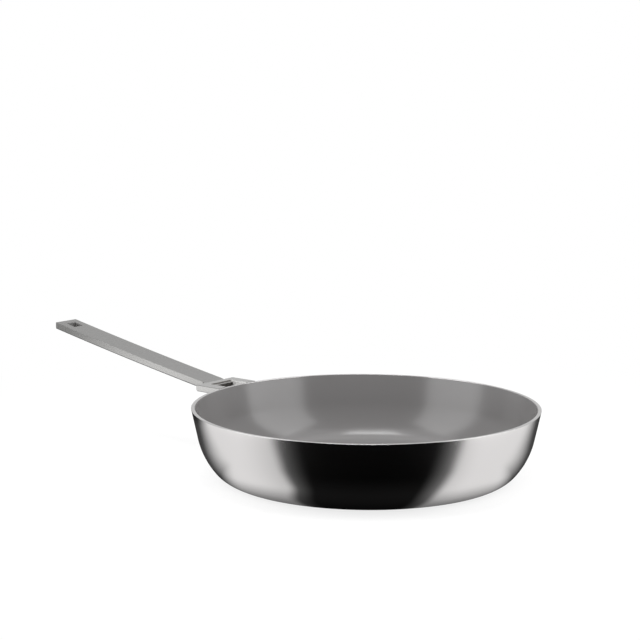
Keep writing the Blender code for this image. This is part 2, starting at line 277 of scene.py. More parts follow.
def blend_colours(tree, share, first, second):
    """A colour that goes from the first to the second as share goes from 0 to 1."""
    return add_node(tree, "ShaderNodeMix", {"Factor": share, "A": first, "B": second},
                    data_type="RGBA").outputs[2]


def new_group(name, inputs, outputs):
    """A shader node group with float inputs and outputs, and its two end nodes."""
    group = bpy.data.node_groups.new(name, "ShaderNodeTree")
    for label, value in inputs.items():
        socket = group.interface.new_socket(label, in_out="INPUT", socket_type="NodeSocketFloat")
        socket.default_value = value
    for label in outputs:
        group.interface.new_socket(label, in_out="OUTPUT", socket_type="NodeSocketFloat")
    return group, group.nodes.new("NodeGroupInput").outputs, group.nodes.new("NodeGroupOutput").inputs


def make_turned_grain():
    """Fine grooves that run round the z axis, as a lathe or a polishing wheel leaves them."""
    defaults = {"Fineness": 5000.0, "Streaks": 3.0}
    group, given, out = new_group("turned_grain", defaults, ("Height", "Cloud"))
    place = object_place(group)
    flat = flattened(group, place)
    round_axis = add_node(group, "ShaderNodeVectorMath", {0: flat}, operation="NORMALIZE").outputs[0]
    streaks = add_node(group, "ShaderNodeVectorMath", {0: round_axis, "Scale": given["Streaks"]},
                       operation="SCALE").outputs[0]
    streak = split(group, streaks)
    along = calculate(group, "ADD", length_of(group, flat), split(group, place)["Z"])
    fine = calculate(group, "MULTIPLY", along, given["Fineness"])
    where = add_node(group, "ShaderNodeCombineXYZ", {"X": streak["X"], "Y": streak["Y"], "Z": fine})
    group.links.new(noise(group, where.outputs[0], scale=1.0, detail=3.0), out["Height"])
    group.links.new(noise(group, place, scale=22.0, detail=2.0), out["Cloud"])
    return group


def new_metal(name, colour, metallic=1.0):
    """A material with its shader's plain colour and metallic value set."""
    material = bpy.data.materials.new(name)
    material.use_nodes = True
    shader = material.node_tree.nodes["Principled BSDF"]
    shader.inputs["Base Color"].default_value = (*colour, 1)
    shader.inputs["Metallic"].default_value = metallic
    return material, material.node_tree, shader


def finish_with_grain(tree, shader, grain, cloud, roughness, spread, depth):
    """Grain lifts the surface by depth, and grain and cloud together move the roughness by spread."""
    mixed = calculate(tree, "ADD", grain, cloud)
    rough = mapped(tree, mixed, *NOISE_SUM, roughness - spread, roughness + spread)
    bump = add_node(tree, "ShaderNodeBump", {"Height": grain, "Strength": 1.0, "Distance": depth})
    tree.links.new(rough, shader.inputs["Roughness"])
    tree.links.new(bump.outputs[0], shader.inputs["Normal"])


def dress(piece, material, slot, *nodes):
    """Gives a piece its material and ties it to the frame."""
    piece.data.materials.clear()
    piece.data.materials.append(material)
    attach(piece, "root")
    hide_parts(*nodes)


rim_inner = rim_radius - WALL / math.cos(WALL_DRAFT)
rim_inner_edge = arc((rim_inner + RIM_INNER_ROUNDING, pan_height - RIM_INNER_ROUNDING),
                     RIM_INNER_ROUNDING, -2 * quarter, -quarter, RIM_INNER_STEPS)
rim_outer_edge = arc((rim_radius - RIM_ROUNDING, pan_height - RIM_ROUNDING),
                     RIM_ROUNDING, -quarter, 0, RIM_OUTER_STEPS)
inside = wall_line(WALL, pan_height, bowl_floor_z)[1:]
outside = wall_line(0, pan_height, base_z)[1:]
seat_radius = base_flat_radius() - DISC_MARGIN + DISC_CLEARANCE
bowl_profile = [(CENTRE_PLUG, bowl_floor_z)] + inside[::-1] + rim_inner_edge + rim_outer_edge + outside
bowl_profile += [(seat_radius, base_z), (seat_radius, disc_seat_z), (CENTRE_PLUG, disc_seat_z)]
bowl = turned("bowl", bowl_profile, BOWL_SIDES)

bpy.ops.object.select_all(action="DESELECT")
bpy.ops.mesh.primitive_circle_add(vertices=BOSS_SIDES, radius=BOSS_RADIUS - BOSS_EDGE, fill_type="NGON")
boss = bpy.context.object
bpy.ops.object.mode_set(mode="EDIT")
bpy.ops.transform.translate(value=(0, 0, base_z))
bpy.ops.mesh.extrude_region_move(TRANSFORM_OT_translate={"value": (0, 0, BOSS_EDGE)})
wider = BOSS_RADIUS / (BOSS_RADIUS - BOSS_EDGE)
bpy.ops.transform.resize(value=(wider, wider, 1), center_override=(0, 0, base_z + BOSS_EDGE))
bpy.ops.mesh.extrude_region_move(TRANSFORM_OT_translate={"value": (0, 0, disc_seat_z - base_z)})
bpy.ops.mesh.select_all(action="SELECT")
bpy.ops.mesh.normals_make_consistent(inside=False)
bpy.ops.object.mode_set(mode="OBJECT")
bosses = copies_at(boss, boss_places())
bowl = join("bowl", [bowl, bosses])
smooth(bowl, degrees=35)

turned_grain = make_turned_grain()
aluminium, tree, shader = new_metal("spun aluminium", POLISHED_COLOUR)
grain = add_node(tree, "ShaderNodeGroup", {"Fineness": 4200.0, "Streaks": 2.5},
                 node_tree=turned_grain).outputs
finish_with_grain(tree, shader, grain["Height"], grain["Cloud"],
                  roughness=0.175, spread=0.02, depth=FINE_GRAIN_DEPTH)
round_axis = add_node(tree, "ShaderNodeTangent", direction_type="RADIAL", axis="Z").outputs[0]
tree.links.new(round_axis, shader.inputs["Tangent"])
shader.inputs["Anisotropic"].default_value = 0.6
shader.inputs["Anisotropic Rotation"].default_value = 0.25
height = split(tree, object_place(tree))["Z"]
on_rim = mapped(tree, height, pan_height - 2 * RIM_ROUNDING, pan_height - RIM_ROUNDING, 0.0, 1.0)
tint = blend_colours(tree, on_rim, (*POLISHED_COLOUR, 1), (*RIM_COLOUR, 1))
tree.links.new(tint, shader.inputs["Base Color"])
dress(bowl, aluminium, "bowl_aluminium", "pan_body")

# Lining
# A grey ceramic coat sprayed over the whole inside and baked, smooth and a little glossy. It ends
# at the rim, which is turned flat after the coating and shows bare metal.
LINING = 0.0004
LINING_DROP = 0.00005
LINING_BOND = 0.00005
CERAMIC_COLOUR = (0.191, 0.186, 0.185)
FLECK_CONTRAST = 0.010

lining_top = pan_height - RIM_INNER_ROUNDING - LINING_DROP
lining_inner = wall_line(WALL + LINING, lining_top, bowl_floor_z + LINING)
lining_outer = wall_line(WALL - LINING_BOND, lining_top, bowl_floor_z - LINING_BOND)
lining_profile = [(CENTRE_PLUG, lining_inner[-1][1])] + lining_inner[::-1]
lining_profile += lining_outer + [(CENTRE_PLUG, lining_outer[-1][1])]
lining = turned("ceramic_lining", lining_profile, BOWL_SIDES)
smooth(lining, degrees=50)

ceramic, tree, shader = new_metal("grey ceramic", CERAMIC_COLOUR, metallic=0.0)
place = object_place(tree)
peel = noise(tree, place, scale=700.0, detail=2.0)
cloud = noise(tree, place, scale=30.0, detail=3.0)
finish_with_grain(tree, shader, peel, cloud, roughness=0.19, spread=0.02, depth=0.000001)
darker = [part - FLECK_CONTRAST for part in CERAMIC_COLOUR]
lighter = [part + FLECK_CONTRAST for part in CERAMIC_COLOUR]
flecks = noise(tree, place, scale=2600.0, detail=1.0)
tint = blend_colours(tree, flecks, (*darker, 1), (*lighter, 1))
tree.links.new(tint, shader.inputs["Base Color"])
dress(lining, ceramic, "grey_ceramic", "nonstick_lining")

# Induction disc
# A thin disc of magnetic steel hammered into the base so that the pan works on an induction hob.
# The aluminium fills its holes and holds it. Its face is turned flat.
HOLE_CLEARANCE = 0.00005
MAGNETIC_COLOUR = (0.50, 0.49, 0.48)
CUTTER_LENGTH = 0.04

disc_radius = base_flat_radius() - DISC_MARGIN


def combine(piece, tool, operation):
    """Joins a tool to a piece or cuts it away, and removes the tool."""
    only(piece)
    step = piece.modifiers.new("Combine", "BOOLEAN")
    step.operation = operation
    step.object = tool
    bpy.ops.object.modifier_apply(modifier=step.name)
    bpy.data.objects.remove(tool)


def cylinder(sides, radius):
    """An upright cylinder about the origin, long enough to cut through a piece."""
    bpy.ops.object.select_all(action="DESELECT")
    bpy.ops.mesh.primitive_cylinder_add(vertices=sides, radius=radius, depth=CUTTER_LENGTH)
    return bpy.context.object


disc = turned("steel_disc", [(CENTRE_PLUG, DISC_THICKNESS), (disc_radius, DISC_THICKNESS),
                             (disc_radius, BOSS_EDGE), (disc_radius - BOSS_EDGE, 0), (CENTRE_PLUG, 0)],
              BOWL_SIDES)
holes = copies_at(cylinder(BOSS_SIDES, BOSS_RADIUS + HOLE_CLEARANCE), boss_places())
combine(disc, holes, "DIFFERENCE")
smooth(disc, degrees=30)

magnetic, tree, shader = new_metal("magnetic steel", MAGNETIC_COLOUR)
grain = add_node(tree, "ShaderNodeGroup", {"Fineness": 2600.0, "Streaks": 2.0},
                 node_tree=turned_grain).outputs
finish_with_grain(tree, shader, grain["Height"], grain["Cloud"],
                  roughness=0.33, spread=0.06, depth=0.000004)
dress(disc, magnetic, "magnetic_steel", "induction_disc")

# Yoke
# A forged steel fork that carries the handle. Its two arms run forward to the rim's outer edge and
# turn down into feet, which lie on the wall and are bolted to it. Its edges are broken.
YOKE_THICKNESS = 0.0054
YOKE_INTO_WALL = 0.02
CROSSBAR_WIDTH = 0.0073
ARM_WIDTH = 0.0104
HEEL_ROUNDING = 0.0018
HEEL_STEPS = 6
FOOT_THICKNESS = 0.0030
FOOT_TAIL = 0.0085
FOOT_ROUNDING = 0.0040
FOOT_ROUNDING_STEPS = 8
FOOT_TOP_DROP = 0.003
FOOT_INTO_WALL = 0.012
STUD_DROP = 0.0160
STUD_HOLE_RADIUS = 0.0028
STUD_HOLE_SIDES = 32
YOKE_EDGE = 0.00045
RELIEF_IN_YOKE = Vector((0.0012, 0.0008, 0.0025))
RELIEF_IN_BAR = Vector((0.0020, 0.0006, 0.0025))
FORK_COLOUR = (0.63, 0.625, 0.615)
SLOT_FRONT_SHADE_COLOUR = (0.22, 0.21, 0.20)
WINDOW_WALL_LIGHT_COLOUR = (0.85, 0.845, 0.835)
ARM_END_SHADE_COLOUR = (0.33, 0.325, 0.32)
END_REACH = 0.00012
CUT_REACH = 0.0003
CUT_FADE = (0.7, 1.7)
END_DEPTH = 0.002
SATIN_SPREAD = 0.04
UNPOLISHED_ROUGHNESS = 0.65
HANDLE_RISE = math.radians(9.4)
TONGUE_THICKNESS = 0.0030
TONGUE_REACH = 0.0022
SLOT_CLEARANCE = 0.00008
OVERSHOOT = 0.004
CUTTER_RISE = 0.01
TOLERANCE = 0.0001
SHARP_ANGLE = math.radians(40)

yoke_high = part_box("handle_yoke")[1]
handle_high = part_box("handle_bar")[1]
handle_width = 2 * handle_high.y
yoke_back = yoke_high.x
yoke_top = yoke_high.z
yoke_under = yoke_top - YOKE_THICKNESS
window_half = yoke_high.y - ARM_WIDTH
crossbar_front = yoke_back - CROSSBAR_WIDTH


def block(name, low, high):
    """A box between two corners, with its place in its mesh."""
    bpy.ops.object.select_all(action="DESELECT")
    bpy.ops.mesh.primitive_cube_add(size=1)
    piece = bpy.context.object
    piece.name = name
    piece.location = (Vector(low) + Vector(high)) / 2
    piece.scale = Vector(high) - Vector(low)
    place_in_mesh(piece)
    return piece


def select_part(piece, kind, wanted):
    """In edit mode, selects the parts of a kind (VERT, EDGE or FACE) whose corners all pass a test."""
    bpy.ops.object.mode_set(mode="EDIT")
    bpy.ops.mesh.select_mode(type=kind)
    bpy.ops.mesh.select_all(action="DESELECT")
    bpy.ops.object.mode_set(mode="OBJECT")
    corners = piece.data.vertices
    passed = {corner.index: wanted(corner.co) for corner in corners}
    if kind == "VERT":
        for corner in corners:
            corner.select = passed[corner.index]
    for part in {"EDGE": piece.data.edges, "FACE": piece.data.polygons}.get(kind, ()):
        part.select = all(passed[index] for index in part.vertices)
    bpy.ops.object.mode_set(mode="EDIT")


def break_edges(piece, width):
    """Gives a piece's sharp edges a narrow flat chamfer."""
    only(piece)
    bevel = piece.modifiers.new("Broken edges", "BEVEL")
    bevel.width = width
    bevel.segments = 1
    bevel.limit_method = "ANGLE"
    bevel.angle_limit = SHARP_ANGLE
    bpy.ops.object.modifier_apply(modifier=bevel.name)


def smooth_evenly(piece, degrees):
    """Shades a piece smooth, and keeps its flat faces even beside their small roundings."""
    smooth(piece, degrees)
    weighted = piece.modifiers.new("Even faces", "WEIGHTED_NORMAL")
    weighted.keep_sharp = True
    weighted.weight = 100
    bpy.ops.object.modifier_apply(modifier=weighted.name)


def wall_frame(side):
    """Axes on the wall beside the handle: x across, y up the wall, z square out from it."""
    across = Vector((0, 1, 0))
    up = Vector((math.sin(WALL_DRAFT), 0, math.cos(WALL_DRAFT)))
    out = Vector((math.cos(WALL_DRAFT), 0, -math.sin(WALL_DRAFT)))
    origin = Vector((rim_radius, 0, pan_height)) - up * STUD_DROP
    origin.y = side * (window_half + ARM_WIDTH / 2)
    return Matrix.Translation(origin) @ Matrix((across, up, out)).transposed().to_4x4()


yoke_front = rim_radius - YOKE_INTO_WALL
yoke = block("yoke", (yoke_front, -yoke_high.y, yoke_under), (yoke_back, yoke_high.y, yoke_top))
only(yoke)
select_part(yoke, "EDGE",
            lambda place: place.x > yoke_back - TOLERANCE and place.z < yoke_under + TOLERANCE)
bpy.ops.mesh.bevel(offset=HEEL_ROUNDING, segments=HEEL_STEPS, affect="EDGES")
bpy.ops.object.mode_set(mode="OBJECT")
break_edges(yoke, YOKE_EDGE)
window = block("window", (yoke_front - OVERSHOOT, -window_half, yoke_under - OVERSHOOT),
               (crossbar_front, window_half, yoke_top + OVERSHOOT))
combine(yoke, window, "DIFFERENCE")
for side in (1, -1):
    foot = block("foot", (-ARM_WIDTH / 2, -FOOT_TAIL, -FOOT_INTO_WALL),
                 (ARM_WIDTH / 2, STUD_DROP - FOOT_TOP_DROP, FOOT_THICKNESS))
    only(foot)
    for hand in (1, -1):
        select_part(foot, "EDGE", lambda place: place.y < -FOOT_TAIL + TOLERANCE and hand * place.x > 0)
        bpy.ops.mesh.bevel(offset=FOOT_ROUNDING, segments=FOOT_ROUNDING_STEPS, affect="EDGES")
        bpy.ops.object.mode_set(mode="OBJECT")
    break_edges(foot, YOKE_EDGE)
    foot.matrix_world = wall_frame(side)
    place_in_mesh(foot)
    combine(yoke, foot, "UNION")


def cut_reliefs(piece):
    """Cuts the small pockets beside the bar's root out of the yoke or out of the bar."""
    for side in (1, -1):
        near = side * (handle_width / 2 - RELIEF_IN_BAR.y)
        far = side * (handle_width / 2 + RELIEF_IN_YOKE.y)
        low = (yoke_back - RELIEF_IN_YOKE.x, min(near, far), yoke_top - RELIEF_IN_YOKE.z)
        high = (yoke_back + RELIEF_IN_BAR.x, max(near, far), yoke_top + OVERSHOOT)
        combine(piece, block("relief", low, high), "DIFFERENCE")


cut_reliefs(yoke)

slot_height = (TONGUE_THICKNESS + 2 * SLOT_CLEARANCE) / math.cos(HANDLE_RISE)
slot_half = handle_width / 2 + SLOT_CLEARANCE
slot = block("slot", (-CROSSBAR_WIDTH - OVERSHOOT, -slot_half, SLOT_CLEARANCE - slot_height),
             (OVERSHOOT, slot_half, SLOT_CLEARANCE))
slot.matrix_world = Matrix.Translation((yoke_back, 0, yoke_top)) @ Matrix.Rotation(-HANDLE_RISE, 4, "Y")
place_in_mesh(slot)
combine(yoke, slot, "DIFFERENCE")

cutter_top = pan_height + CUTTER_RISE
cutter_radius = rim_radius + CUTTER_RISE * math.tan(WALL_DRAFT)
wall_profile = [(CENTRE_PLUG, cutter_top), (cutter_radius, cutter_top)]
wall_profile += outside + [(CENTRE_PLUG, base_z)]
combine(yoke, turned("wall_cutter", wall_profile, BOWL_SIDES), "DIFFERENCE")
for side in (1, -1):
    hole = cylinder(STUD_HOLE_SIDES, STUD_HOLE_RADIUS)
    hole.matrix_world = wall_frame(side)
    place_in_mesh(hole)
    combine(yoke, hole, "DIFFERENCE")
smooth_evenly(yoke, degrees=30)


def make_straight_grain():
    """Fine scratches along the x axis, as a belt leaves them, with slow clouds over them."""
    defaults = {"Fineness": 5000.0, "Length": 60.0}
    group, given, out = new_group("straight_grain", defaults, ("Height", "Cloud"))
    place = object_place(group)
    parts = split(group, place)
    scaled = {}
    for axis, share in (("X", given["Length"]), ("Y", given["Fineness"]), ("Z", given["Fineness"])):
        scaled[axis] = calculate(group, "MULTIPLY", parts[axis], share)
    where = add_node(group, "ShaderNodeCombineXYZ", scaled).outputs[0]
    group.links.new(noise(group, where, scale=1.0, detail=3.0), out["Height"])
    group.links.new(noise(group, place, scale=35.0, detail=2.0), out["Cloud"])
    return group


straight_grain = make_straight_grain()


def make_satin_steel(name, colour, roughness, depth):
    """Stainless steel with a fine belt finish along the handle."""
    material, tree, shader = new_metal(name, colour)
    grain = add_node(tree, "ShaderNodeGroup", node_tree=straight_grain).outputs
    finish_with_grain(tree, shader, grain["Height"], grain["Cloud"], roughness, SATIN_SPREAD, depth)
    return material


def make_cut_mask():
    """1 on the upright walls of a rectangular cut and 0 beyond them, with a ragged border. The cut is
    given by the x of its middle and by its half length and half width, across y = 0."""
    defaults = {"Middle": 0.0, "Half Length": 0.01, "Half Width": 0.01}
    group, given, out = new_group("cut_mask", defaults, ("Mask",))
    place = object_place(group)
    parts = split(group, place)
    moved = calculate(group, "SUBTRACT", parts["X"], given["Middle"])
    beyond = []
    for distance, half in ((moved, "Half Length"), (parts["Y"], "Half Width")):
        distance = calculate(group, "ABSOLUTE", distance)
        beyond.append(calculate(group, "SUBTRACT", distance, given[half]))
    shares = calculate(group, "DIVIDE", calculate(group, "MAXIMUM", *beyond), CUT_REACH)
    ragged = calculate(group, "ADD", shares, noise(group, place, scale=1800.0, detail=3.0))
    group.links.new(mapped(group, ragged, *CUT_FADE, 1.0, 0.0), out["Mask"])
    return group


cut_mask = make_cut_mask()


def cut_walls(material, low, high, half_width):
    """A mask of the walls of a cut between two x positions."""
    shape = {"Middle": (low + high) / 2, "Half Length": (high - low) / 2, "Half Width": half_width}
    return add_node(material.node_tree, "ShaderNodeGroup", shape, node_tree=cut_mask).outputs["Mask"]


def wall_cut(material):
    """A mask of the arms' ends, which are cut to the bowl's wall."""
    tree = material.node_tree
    place = object_place(tree)
    rise = calculate(tree, "SUBTRACT", split(tree, place)["Z"], pan_height)
    wall = calculate(tree, "MULTIPLY_ADD", rise, math.tan(WALL_DRAFT), rim_radius)
    gap = calculate(tree, "SUBTRACT", length_of(tree, flattened(tree, place)), wall)
    return mapped(tree, gap, END_REACH, 2 * END_REACH, 1.0, 0.0)


def blend(tree, share, first, second):
    """A value that goes from the first to the second as share goes from 0 to 1."""
    return add_node(tree, "ShaderNodeMix", {"Factor": share, "A": first, "B": second}).outputs[0]


def change_finish_or_painted_light(material, socket, mask, value):
    """Gives a steel another roughness, or a base colour that is mostly painted shade or painted light,
    where a mask is 1.
    """
    tree = material.node_tree
    shader = tree.nodes["Principled BSDF"]
    if socket == "Roughness":
        before = shader.inputs[socket].links[0].from_socket
        after = blend(tree, mask, before, value)
    else:
        before = shader.inputs[socket].default_value[:]
        if shader.inputs[socket].links:
            before = shader.inputs[socket].links[0].from_socket
        after = blend_colours(tree, mask, before, (*value, 1))
    tree.links.new(after, shader.inputs[socket])


fork_steel = make_satin_steel("satin steel fork", FORK_COLOUR, roughness=0.20, depth=FINE_GRAIN_DEPTH)
# The window's walls are unpolished, and their colour is made lighter than the fork's steel as painted
# light in the shaded window.
window_walls = cut_walls(fork_steel, yoke_front, crossbar_front, window_half)
change_finish_or_painted_light(fork_steel, "Roughness", window_walls, UNPOLISHED_ROUGHNESS)
change_finish_or_painted_light(fork_steel, "Base Color", window_walls, WINDOW_WALL_LIGHT_COLOUR)
# Painted shade: the crossbar's front face round the slot is coloured dark, where the window lies in
# shade.
slot_front = cut_walls(fork_steel, crossbar_front - END_DEPTH, crossbar_front, slot_half)
change_finish_or_painted_light(fork_steel, "Base Color", slot_front, SLOT_FRONT_SHADE_COLOUR)
# The arms' ends against the wall are unpolished, and their colour is darkened as painted shade where
# they meet the wall.
arm_ends = wall_cut(fork_steel)
change_finish_or_painted_light(fork_steel, "Roughness", arm_ends, UNPOLISHED_ROUGHNESS)
change_finish_or_painted_light(fork_steel, "Base Color", arm_ends, ARM_END_SHADE_COLOUR)
dress(yoke, fork_steel, "satin_steel", "handle_yoke")

# Handle bar
# A flat bar of stainless steel, bowed a little upwards and cut upright at both ends. Its tail has a
# square hole to hang it by, and a tongue on its front passes through the yoke's crossbar, where it
# is welded.
HANDLE_THICKNESS = 0.0058
HANDLE_BOW = math.radians(1.8)
HANDLE_LOWER_EDGE = 0.0010
HANDLE_LOWER_STEPS = 4
HANDLE_UPPER_EDGE = 0.00005
HANDLE_TAIL_EDGE = 0.0002
BOW_STEPS = 24
BAR_COLOUR = (0.56, 0.555, 0.545)
HANG_HOLE_SHADE_COLOUR = (0.30, 0.295, 0.29)
TONGUE_COLOUR = (0.39, 0.385, 0.38)
TONGUE_END_SHADE_COLOUR = (0.10, 0.095, 0.09)
RELIEF_SHADE_COLOUR = (0.12, 0.115, 0.11)
HANG_HOLE = 0.0100
HANG_HOLE_MARGIN = 0.0070

bar_depth = HANDLE_THICKNESS / math.cos(HANDLE_RISE + HANDLE_BOW / 2)
bpy.ops.object.select_all(action="DESELECT")
bpy.ops.mesh.primitive_plane_add(size=1, rotation=(0, quarter, 0))
bar = bpy.context.object
bar.name = "bar"
bar.scale = (bar_depth, handle_width, 1)
bar_middle_z = yoke_top - bar_depth / 2
bar.location = (yoke_back, 0, bar_middle_z)
place_in_mesh(bar)
for level, width, segments in ((-1, HANDLE_LOWER_EDGE, HANDLE_LOWER_STEPS), (1, HANDLE_UPPER_EDGE, 1)):
    select_part(bar, "VERT", lambda place: level * (place.z - bar_middle_z) > bar_depth / 2 - TOLERANCE)
    bpy.ops.mesh.bevel(offset=width, segments=segments, affect="VERTICES")
    bpy.ops.object.mode_set(mode="OBJECT")
bpy.ops.object.mode_set(mode="EDIT")
bpy.ops.mesh.select_all(action="SELECT")
slopes = [HANDLE_RISE + HANDLE_BOW * (step + 0.5) / BOW_STEPS for step in range(BOW_STEPS)]
run = (handle_high.x - yoke_back) / sum(math.cos(slope) for slope in slopes)
rise = (handle_high.z - yoke_top) / sum(math.sin(slope) for slope in slopes)
for slope in slopes:
    move = (run * math.cos(slope), 0, rise * math.sin(slope))
    bpy.ops.mesh.extrude_region_move(TRANSFORM_OT_translate={"value": move})
bpy.ops.mesh.select_all(action="SELECT")
bpy.ops.mesh.normals_make_consistent(inside=False)
bpy.ops.object.mode_set(mode="OBJECT")
select_part(bar, "EDGE", lambda place: place.x > handle_high.x - TOLERANCE)
bpy.ops.mesh.bevel(offset=HANDLE_TAIL_EDGE, segments=1, affect="EDGES")
bpy.ops.object.mode_set(mode="OBJECT")
select_part(bar, "FACE", lambda place: place.x < yoke_back + TOLERANCE)
tongue_under = yoke_top - TONGUE_THICKNESS / math.cos(HANDLE_RISE)
bpy.ops.mesh.bisect(plane_co=(0, 0, tongue_under), plane_no=(0, 0, 1))
bpy.ops.object.mode_set(mode="OBJECT")
select_part(bar, "FACE",
            lambda place: place.x < yoke_back + TOLERANCE and place.z > tongue_under - TOLERANCE)
tongue_length = CROSSBAR_WIDTH + TONGUE_REACH
forward = (-tongue_length, 0, -tongue_length * math.tan(HANDLE_RISE))
bpy.ops.mesh.extrude_region_move(TRANSFORM_OT_translate={"value": forward})
bpy.ops.object.mode_set(mode="OBJECT")
hole_end = handle_high.x - HANG_HOLE_MARGIN
hang_hole = block("hang_hole", (hole_end - HANG_HOLE, -HANG_HOLE / 2, yoke_under),
                  (hole_end, HANG_HOLE / 2, handle_high.z + OVERSHOOT))
combine(bar, hang_hole, "DIFFERENCE")
cut_reliefs(bar)
smooth_evenly(bar, degrees=30)

bar_steel = make_satin_steel("satin steel bar", BAR_COLOUR, roughness=0.23, depth=FINE_GRAIN_DEPTH)
tongue_front = crossbar_front - TONGUE_REACH
tongue_faces = cut_walls(bar_steel, tongue_front, crossbar_front, handle_width / 2)
change_finish_or_painted_light(bar_steel, "Roughness", tongue_faces, UNPOLISHED_ROUGHNESS)
change_finish_or_painted_light(bar_steel, "Base Color", tongue_faces, TONGUE_COLOUR)
# Painted shade: the tongue's end face is coloured nearly black, where it lies in shade beyond the
# crossbar.
tongue_end = cut_walls(bar_steel, tongue_front - END_DEPTH, tongue_front, handle_width / 2)
change_finish_or_painted_light(bar_steel, "Base Color", tongue_end, TONGUE_END_SHADE_COLOUR)
# The hang hole's walls are unpolished, and their colour is darkened as painted shade inside the hole.
hole_walls = cut_walls(bar_steel, hole_end - HANG_HOLE, hole_end, HANG_HOLE / 2)
change_finish_or_painted_light(bar_steel, "Base Color", hole_walls, HANG_HOLE_SHADE_COLOUR)
change_finish_or_painted_light(bar_steel, "Roughness", hole_walls, UNPOLISHED_ROUGHNESS)
# Painted shade: the walls of the pockets beside the bar's root are coloured dark.
root_end = yoke_back + RELIEF_IN_BAR.x
root = cut_walls(bar_steel, yoke_back, root_end, handle_width)
root_core = cut_walls(bar_steel, yoke_back, root_end, handle_width / 2 - RELIEF_IN_BAR.y)
reliefs = calculate(bar_steel.node_tree, "SUBTRACT", root, root_core)
change_finish_or_painted_light(bar_steel, "Base Color", reliefs, RELIEF_SHADE_COLOUR)
dress(bar, bar_steel, "satin_steel", "handle_bar")

# Studs, washers and cap nuts
# Behind each foot a threaded aluminium stud is welded to the wall. It passes through the foot, a
# split spring washer and a domed cap nut of bright steel, which pull the yoke tight.
STUD_RADIUS = 0.0025
WASHER_RADIUS = 0.0044
WASHER_THICKNESS = 0.0012
WASHER_SLIT = 0.0009
WASHER_SLIT_TURN = math.radians(25)
STUD_CLEARANCE = 0.0002
WASHER_EDGE = 0.00012
NUT_ACROSS_FLATS = 0.0080
NUT_HEX_HEIGHT = 0.0042
NUT_CHAMFER = 0.0005
NUT_DOME_RADIUS = 0.0037
NUT_TOP = 0.0101
DOME_STEPS = 12
SMALL_SIDES = 64
STUD_COLOUR = (0.62, 0.62, 0.61)
SPRING_COLOUR = (0.42, 0.41, 0.40)
BRIGHT_COLOUR = (0.66, 0.655, 0.645)

stud_metal, tree, shader = new_metal("stud aluminium", STUD_COLOUR)
grain = add_node(tree, "ShaderNodeGroup", node_tree=straight_grain).outputs
finish_with_grain(tree, shader, grain["Height"], grain["Cloud"],
                  roughness=0.40, spread=0.05, depth=0.000002)
spring_steel = make_satin_steel("spring steel", SPRING_COLOUR, roughness=0.34, depth=0.000003)
bright_steel = make_satin_steel("bright steel", BRIGHT_COLOUR, roughness=0.18, depth=0.000001)

small_plug = CENTRE_PLUG / 2
washer_top = FOOT_THICKNESS + WASHER_THICKNESS
washer = turned("washer", [(small_plug, washer_top), (WASHER_RADIUS, washer_top),
                           (WASHER_RADIUS, FOOT_THICKNESS), (small_plug, FOOT_THICKNESS)], SMALL_SIDES)
combine(washer, cylinder(SMALL_SIDES, STUD_RADIUS + STUD_CLEARANCE), "DIFFERENCE")
slit = block("slit", (-WASHER_SLIT / 2, -2 * WASHER_RADIUS, 0), (WASHER_SLIT / 2, 0, 2 * washer_top))
slit.matrix_world = Matrix.Rotation(WASHER_SLIT_TURN, 4, "Z")
place_in_mesh(slit)
combine(washer, slit, "DIFFERENCE")
break_edges(washer, WASHER_EDGE)
smooth_evenly(washer, degrees=30)

nut_plug = NUT_DOME_RADIUS / 40
dome = [(nut_plug, NUT_TOP)]
dome += arc((0, NUT_TOP - NUT_DOME_RADIUS), NUT_DOME_RADIUS, -quarter, 0, DOME_STEPS)[1:]
nut = turned("nut", dome + [(NUT_DOME_RADIUS, washer_top), (nut_plug, washer_top)], SMALL_SIDES)
corner_radius = NUT_ACROSS_FLATS / math.sqrt(3)
flat_radius = NUT_ACROSS_FLATS / 2
hex_top = washer_top + NUT_HEX_HEIGHT
blank = turned("hex_blank", [(small_plug, hex_top), (flat_radius, hex_top),
                             (corner_radius, hex_top - NUT_CHAMFER),
                             (corner_radius, washer_top + NUT_CHAMFER),
                             (flat_radius, washer_top), (small_plug, washer_top)], SMALL_SIDES)
combine(blank, cylinder(6, corner_radius), "INTERSECT")
combine(nut, blank, "UNION")
smooth(nut, degrees=25)

patterns = ((washer, "washer", spring_steel, "spring_steel", "split_washer"),
            (nut, "nut", bright_steel, "bright_steel", "cap_nut"))
for side, hand in ((1, "left"), (-1, "right")):
    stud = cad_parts[f"{hand}_stud"]
    stud.data.materials.clear()
    stud.data.materials.append(stud_metal)
    for pattern, kind, steel, slot, node in patterns:
        piece = copy_of(pattern, f"{hand}_{kind}")
        piece.matrix_world = wall_frame(side)
        place_in_mesh(piece)
        dress(piece, steel, slot, f"{hand}_{node}")
for pattern in (washer, nut):
    bpy.data.objects.remove(pattern)

# Studio
# The pan stands on a white table in a white room, between two upright softboxes, with a small one and
# a pale panel above. For polished metal the table glows with a painted reflection: a pale pool on each
# side of the pan, dark in front and dark behind, with painted shade by the handle and a painted contact
# shadow at the pan's foot. This gives the bowl its black middle and its dark outer edges.

# The table and the shadow on it
TABLE_SIZE = 30.0
TABLE_GLOW = 0.80
TABLE_SHADE = 0.80
SHADOW_SHADE = 0.22
SHADOW_FADE = (0.2, 0.55)

# Seen in metal: the painted pale pool, ring by ring away from the pan, with a painted contact shadow
# nearest it
POOL_LEVEL = 0.76
POOL_PEAK_LEVEL = 1.08
POOL_FAR_LEVEL = 0.46
CONTACT_SHARE = 0.25
CONTACT_RING = (0.110, 0.136)
PEAK_RING = (0.32, 0.46)
FAR_RING = (0.56, 0.78)

